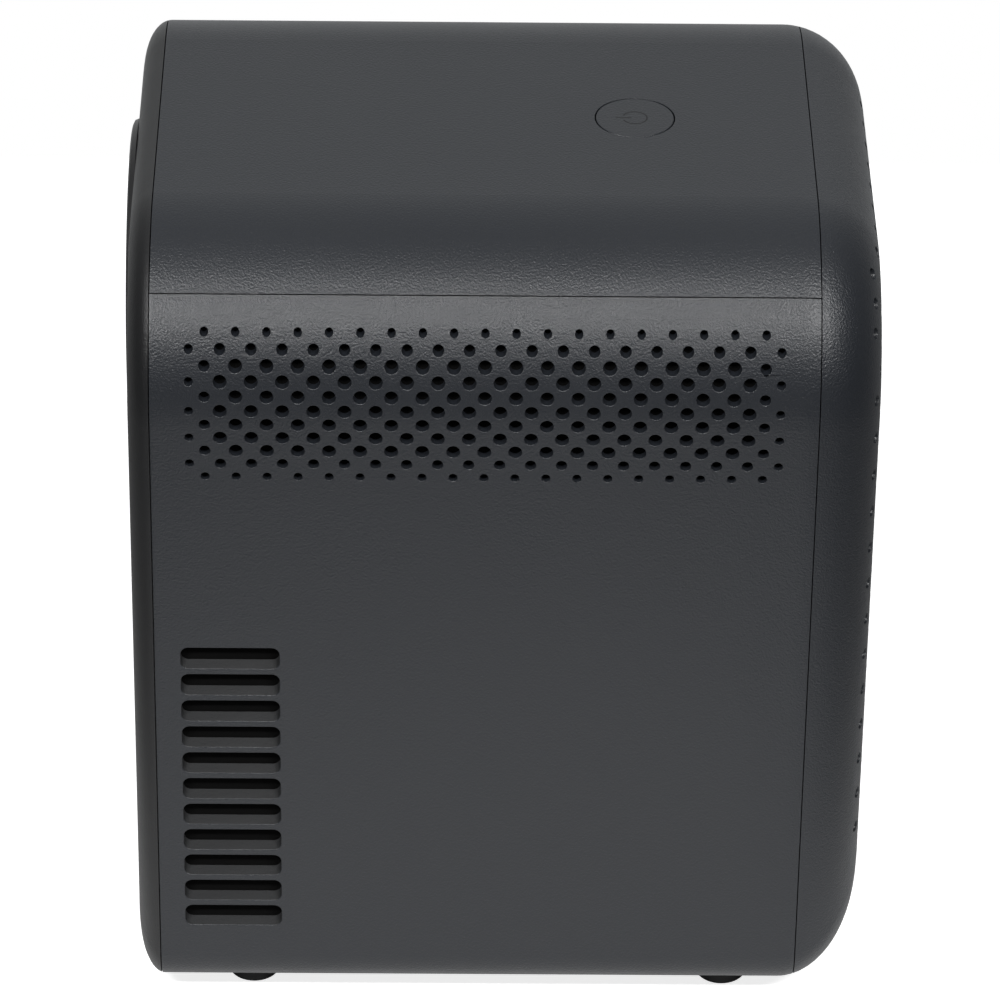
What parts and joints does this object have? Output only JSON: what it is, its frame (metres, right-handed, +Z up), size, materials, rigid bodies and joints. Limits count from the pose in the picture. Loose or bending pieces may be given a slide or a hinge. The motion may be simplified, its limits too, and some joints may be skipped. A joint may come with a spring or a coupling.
{
  "type": "upright projector with disc player",
  "caption": "Upright home cinema projector with a lens at the upper front, a motorised disc tray below it, perforated sides and back, and a power button on top.",
  "frame": {"origin": "on the floor plane under the feet, below the middle of the whole object", "axes": "+Z up; -Y is the front, which the lens and the disc tray face; +X is the side that the fans blow out of"},
  "size_m": [0.171, 0.1974, 0.2295],
  "materials": {
    "slate_plastic": "fine spark-eroded grain, dark slate",
    "black_plastic": "fine grain, near black",
    "ring_plastic": "satin near black",
    "foot_rubber": "matt black rubber",
    "screw_steel": "zinc-plated steel",
    "brass_insert": "machined brass",
    "ir_window": "dark red translucent acrylic",
    "inner_plastic": "black glass-filled plastic",
    "lens_glass": "coated optical glass",
    "gear_plastic": "natural white acetal",
    "motor_steel": "plated steel can",
    "mirror": "front-silvered mirror",
    "panel_glass": "liquid crystal panel",
    "lamp_board": "white coated aluminium board with a light-emitting chip",
    "sink_aluminium": "extruded aluminium",
    "fan_plastic": "black plastic",
    "drive_plastic": "black moulded plastic",
    "tray_plastic": "black moulded plastic, satin",
    "belt_rubber": "black rubber",
    "sled_metal": "die-cast alloy",
    "bridge_steel": "zinc-plated pressed steel",
    "circuit_board": "green solder mask with dark components",
    "inlet_plastic": "black moulded plastic",
    "speaker_black": "black frame and paper cone",
    "screen_mesh": "fine black nylon mesh"
  },
  "bodies": {
    "root": {"base_screws": "screw_steel", "button_board": "circuit_board", "clamp_bridge": "bridge_steel", "collimator_lens": "lens_glass", "drive_chassis": "drive_plastic", "dust_screens": "screen_mesh", "eject_board": "circuit_board", "engine_half_left": "inner_plastic", "engine_half_right": "inner_plastic", "exhaust_duct": "inner_plastic", "fan_frame_lower": "fan_plastic", "fan_frame_upper": "fan_plastic", "feet": "foot_rubber", "field_lens": "lens_glass", "focus_motor": "motor_steel", "front_bezel": "black_plastic", "heat_sink": "sink_aluminium", "ir_window": "ir_window", "lamp_module": "lamp_board", "lcd_panel": "panel_glass", "lens_ring": "ring_plastic", "lens_sleeve": "inner_plastic", "light_funnel": "inner_plastic", "loading_belt": "belt_rubber", "loading_motor": "motor_steel", "lower_mirror": "mirror", "lower_shell": "slate_plastic", "main_board": "circuit_board", "mains_inlet": "inlet_plastic", "port_panel": "black_plastic", "power_supply": "circuit_board", "rear_cover": "slate_plastic", "speaker_left": "speaker_black", "speaker_right": "speaker_black", "stand_insert": "brass_insert", "top_cover": "slate_plastic", "upper_mirror": "mirror"},
    "power_key": {"power_button": "slate_plastic"},
    "eject_key": {"eject_button": "black_plastic"},
    "focus_ring": {"focus_ring": "gear_plastic"},
    "focus_pinion": {"focus_pinion": "gear_plastic"},
    "lens": {"lens_barrel": "inner_plastic", "front_lens": "lens_glass", "rear_lens": "lens_glass"},
    "fan_rotor_lower": {"fan_rotor_lower": "fan_plastic"},
    "fan_rotor_upper": {"fan_rotor_upper": "fan_plastic"},
    "tray": {"disc_tray": "tray_plastic", "tray_front": "black_plastic"},
    "tray_gear": {"tray_gear": "gear_plastic"},
    "loading_pulley": {"loading_pulley": "gear_plastic"},
    "motor_pulley": {"motor_pulley": "brass_insert"},
    "deck": {"traverse_deck": "drive_plastic", "guide_rods": "screw_steel", "spindle_motor": "motor_steel", "sled_motor": "motor_steel"},
    "cam_slide": {"cam_slide": "gear_plastic"},
    "turntable": {"turntable": "tray_plastic"},
    "sled": {"pickup_sled": "sled_metal"},
    "sled_gear": {"sled_gear": "gear_plastic"},
    "clamp_puck": {"clamp_puck": "tray_plastic"}
  },
  "joints": [
    {"name": "power_press", "type": "slide", "parent": "root", "child": "power_key", "axis": [0, 0, -1], "range_m": [0, 0.0006], "stiffness_N_per_m": 600, "springref_m": -0.001},
    {"name": "eject_press", "type": "slide", "parent": "root", "child": "eject_key", "axis": [0, 1, 0], "range_m": [0, 0.0006], "stiffness_N_per_m": 600, "springref_m": -0.001},
    {"name": "focus_turn", "type": "hinge", "parent": "root", "child": "focus_ring", "pos_m": [0, -0.053, 0.1776], "axis": [0, 1, 0], "range_deg": [0, 120]},
    {"name": "focus_slide", "type": "slide", "parent": "root", "child": "lens", "axis": [0, -1, 0], "range_m": [0, 0.006]},
    {"name": "focus_pinion_spin", "type": "hinge", "parent": "root", "child": "focus_pinion", "pos_m": [0, -0.053, 0.1365], "axis": [0, 1, 0], "range_deg": [-702, 2]},
    {"name": "fan_spin_lower", "type": "hinge", "parent": "root", "child": "fan_rotor_lower", "pos_m": [0.0538, -0.06603, 0.07735], "axis": [1, 0, 0], "continuous": true},
    {"name": "fan_spin_upper", "type": "hinge", "parent": "root", "child": "fan_rotor_upper", "pos_m": [0.0538, -0.06603, 0.11785], "axis": [1, 0, 0], "continuous": true},
    {"name": "tray_slide", "type": "slide", "parent": "root", "child": "tray", "axis": [0, -1, 0], "range_m": [0, 0.126]},
    {"name": "tray_gear_spin", "type": "hinge", "parent": "root", "child": "tray_gear", "pos_m": [0.0459, -0.07985, 0.03], "axis": [0, 0, 1], "range_deg": [-603.61, 2]},
    {"name": "loading_pulley_spin", "type": "hinge", "parent": "root", "child": "loading_pulley", "pos_m": [0.0268, -0.07985, 0.024], "axis": [0, 0, 1], "range_deg": [-2, 1033.32]},
    {"name": "motor_pulley_spin", "type": "hinge", "parent": "root", "child": "motor_pulley", "pos_m": [-0.022, -0.07985, 0.024], "axis": [0, 0, 1], "range_deg": [-2, 3123.53]},
    {"name": "deck_tilt", "type": "hinge", "parent": "root", "child": "deck", "pos_m": [0, 0.04515, 0.023], "axis": [1, 0, 0], "range_deg": [0, 3]},
    {"name": "cam_slide_move", "type": "slide", "parent": "root", "child": "cam_slide", "axis": [1, 0, 0], "range_m": [-0.0002, 0.0142]},
    {"name": "disc_spin", "type": "hinge", "parent": "deck", "child": "turntable", "pos_m": [0, -0.02785, 0.03], "axis": [0, 0, 1], "continuous": true},
    {"name": "sled_slide", "type": "slide", "parent": "deck", "child": "sled", "axis": [0, 1, 0], "range_m": [0, 0.036]},
    {"name": "sled_gear_spin", "type": "hinge", "parent": "deck", "child": "sled_gear", "pos_m": [0.0362, 0.00115, 0.028], "axis": [0, 0, 1], "range_deg": [-345.77, 2]},
    {"name": "puck_spin", "type": "hinge", "parent": "root", "child": "clamp_puck", "pos_m": [0, -0.02785, 0.045], "axis": [0, 0, 1], "continuous": true}
  ],
  "couplings": [
    {"joint": "focus_slide", "follows": "focus_turn", "m_per_rad": 0.0028648},
    {"joint": "focus_pinion_spin", "follows": "focus_turn", "ratio": -5.8333},
    {"joint": "tray_gear_spin", "follows": "tray_slide", "rad_per_m": -83.333},
    {"joint": "loading_pulley_spin", "follows": "tray_slide", "rad_per_m": 142.86},
    {"joint": "motor_pulley_spin", "follows": "tray_slide", "rad_per_m": 431.97},
    {"joint": "cam_slide_move", "follows": "deck_tilt", "m_per_rad": 0.26738},
    {"joint": "sled_gear_spin", "follows": "sled_slide", "rad_per_m": -166.67},
    {"joint": "puck_spin", "follows": "disc_spin", "ratio": 1}
  ]
}
